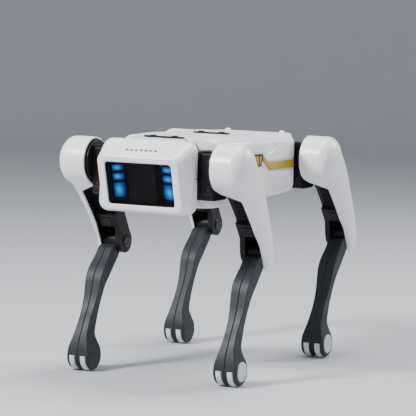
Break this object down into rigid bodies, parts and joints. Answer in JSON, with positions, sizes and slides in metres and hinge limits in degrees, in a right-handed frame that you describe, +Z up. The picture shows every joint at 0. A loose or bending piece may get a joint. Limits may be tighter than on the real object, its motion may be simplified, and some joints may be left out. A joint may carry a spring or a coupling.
{
  "type": "quadruped robot dog",
  "caption": "Four-legged robot dog with a boxy head, dark face window with blue light blocks, white leg covers and slim dark shanks on rubber feet.",
  "frame": {"origin": "centre of the bounding box in plan, on the floor plane under the feet", "axes": "+Z up; the head looks along -Y; +X is the robot's left"},
  "size_m": [0.294, 0.4594, 0.3394],
  "materials": {
    "white_shell": "satin white moulded plastic",
    "black_plastic": "satin black moulded plastic",
    "graphite_shank": "fine-grained graphite plastic",
    "pale_rubber": "matte pale grey rubber",
    "silver_disc": "satin silver-grey plastic",
    "smoked_glass": "smoked glossy window",
    "blue_light": "lit blue diffuser",
    "yellow_trim": "satin mustard yellow",
    "steel": "turned steel",
    "battery_wrap": "dark shrink wrap",
    "circuit_green": "circuit board"
  },
  "bodies": {
    "torso": {"top_shell": "white_shell", "belly_shell": "white_shell", "tail_cover": "black_plastic", "chassis": "black_plastic", "battery_pack": "battery_wrap", "main_board": "circuit_green", "front_rail": "black_plastic", "rear_rail": "black_plastic", "side_stripe_left": "yellow_trim", "side_stripe_right": "yellow_trim", "head_shell": "white_shell", "face_window": "smoked_glass", "light_housing": "black_plastic", "eye_light_left": "blue_light", "eye_light_right": "blue_light", "hip_motor_front_left": "black_plastic", "hip_motor_front_right": "black_plastic", "hip_motor_rear_left": "black_plastic", "hip_motor_rear_right": "black_plastic"},
    "hip_front_left": {"hip_housing_front_left": "black_plastic", "pitch_motor_front_left": "black_plastic"},
    "thigh_front_left": {"thigh_cover_front_left": "white_shell", "thigh_frame_front_left": "black_plastic", "knee_axle_front_left": "steel"},
    "shank_front_left": {"shank_outer_front_left": "graphite_shank", "shank_inner_front_left": "graphite_shank", "foot_tread_outer_front_left": "pale_rubber", "foot_tread_inner_front_left": "pale_rubber", "ankle_disc_front_left": "silver_disc"},
    "hip_front_right": {"hip_housing_front_right": "black_plastic", "pitch_motor_front_right": "black_plastic"},
    "thigh_front_right": {"thigh_cover_front_right": "white_shell", "thigh_frame_front_right": "black_plastic", "knee_axle_front_right": "steel"},
    "shank_front_right": {"shank_outer_front_right": "graphite_shank", "shank_inner_front_right": "graphite_shank", "foot_tread_outer_front_right": "pale_rubber", "foot_tread_inner_front_right": "pale_rubber", "ankle_disc_front_right": "silver_disc"},
    "hip_rear_left": {"hip_housing_rear_left": "black_plastic", "pitch_motor_rear_left": "black_plastic"},
    "thigh_rear_left": {"thigh_cover_rear_left": "white_shell", "thigh_frame_rear_left": "black_plastic", "knee_axle_rear_left": "steel"},
    "shank_rear_left": {"shank_outer_rear_left": "graphite_shank", "shank_inner_rear_left": "graphite_shank", "foot_tread_outer_rear_left": "pale_rubber", "foot_tread_inner_rear_left": "pale_rubber", "ankle_disc_rear_left": "silver_disc"},
    "hip_rear_right": {"hip_housing_rear_right": "black_plastic", "pitch_motor_rear_right": "black_plastic"},
    "thigh_rear_right": {"thigh_cover_rear_right": "white_shell", "thigh_frame_rear_right": "black_plastic", "knee_axle_rear_right": "steel"},
    "shank_rear_right": {"shank_outer_rear_right": "graphite_shank", "shank_inner_rear_right": "graphite_shank", "foot_tread_outer_rear_right": "pale_rubber", "foot_tread_inner_rear_right": "pale_rubber", "ankle_disc_rear_right": "silver_disc"}
  },
  "joints": [
    {"name": "front_left_sway", "type": "hinge", "parent": "torso", "child": "hip_front_left", "pos_m": [0.058, -0.17, 0.292], "axis": [0, -1, 0], "range_deg": [-12, 14]},
    {"name": "front_left_hip_pitch", "type": "hinge", "parent": "hip_front_left", "child": "thigh_front_left", "pos_m": [0.098, -0.17, 0.3], "axis": [1, 0, 0], "range_deg": [-40, 30]},
    {"name": "front_left_knee", "type": "hinge", "parent": "thigh_front_left", "child": "shank_front_left", "pos_m": [0.116, -0.08106, 0.17847], "axis": [1, 0, 0], "range_deg": [-35, 40]},
    {"name": "front_right_sway", "type": "hinge", "parent": "torso", "child": "hip_front_right", "pos_m": [-0.058, -0.17, 0.292], "axis": [0, 1, 0], "range_deg": [-12, 14]},
    {"name": "front_right_hip_pitch", "type": "hinge", "parent": "hip_front_right", "child": "thigh_front_right", "pos_m": [-0.098, -0.17, 0.3], "axis": [1, 0, 0], "range_deg": [-40, 30]},
    {"name": "front_right_knee", "type": "hinge", "parent": "thigh_front_right", "child": "shank_front_right", "pos_m": [-0.116, -0.08106, 0.17847], "axis": [1, 0, 0], "range_deg": [-35, 40]},
    {"name": "rear_left_sway", "type": "hinge", "parent": "torso", "child": "hip_rear_left", "pos_m": [0.058, 0.121, 0.2885], "axis": [0, -1, 0], "range_deg": [-12, 14]},
    {"name": "rear_left_hip_pitch", "type": "hinge", "parent": "hip_rear_left", "child": "thigh_rear_left", "pos_m": [0.098, 0.121, 0.2965], "axis": [1, 0, 0], "range_deg": [-40, 30]},
    {"name": "rear_left_knee", "type": "hinge", "parent": "thigh_rear_left", "child": "shank_rear_left", "pos_m": [0.116, 0.21269, 0.17703], "axis": [1, 0, 0], "range_deg": [-35, 40]},
    {"name": "rear_right_sway", "type": "hinge", "parent": "torso", "child": "hip_rear_right", "pos_m": [-0.058, 0.121, 0.2885], "axis": [0, 1, 0], "range_deg": [-12, 14]},
    {"name": "rear_right_hip_pitch", "type": "hinge", "parent": "hip_rear_right", "child": "thigh_rear_right", "pos_m": [-0.098, 0.121, 0.2965], "axis": [1, 0, 0], "range_deg": [-40, 30]},
    {"name": "rear_right_knee", "type": "hinge", "parent": "thigh_rear_right", "child": "shank_rear_right", "pos_m": [-0.116, 0.21269, 0.17703], "axis": [1, 0, 0], "range_deg": [-35, 40]}
  ]
}
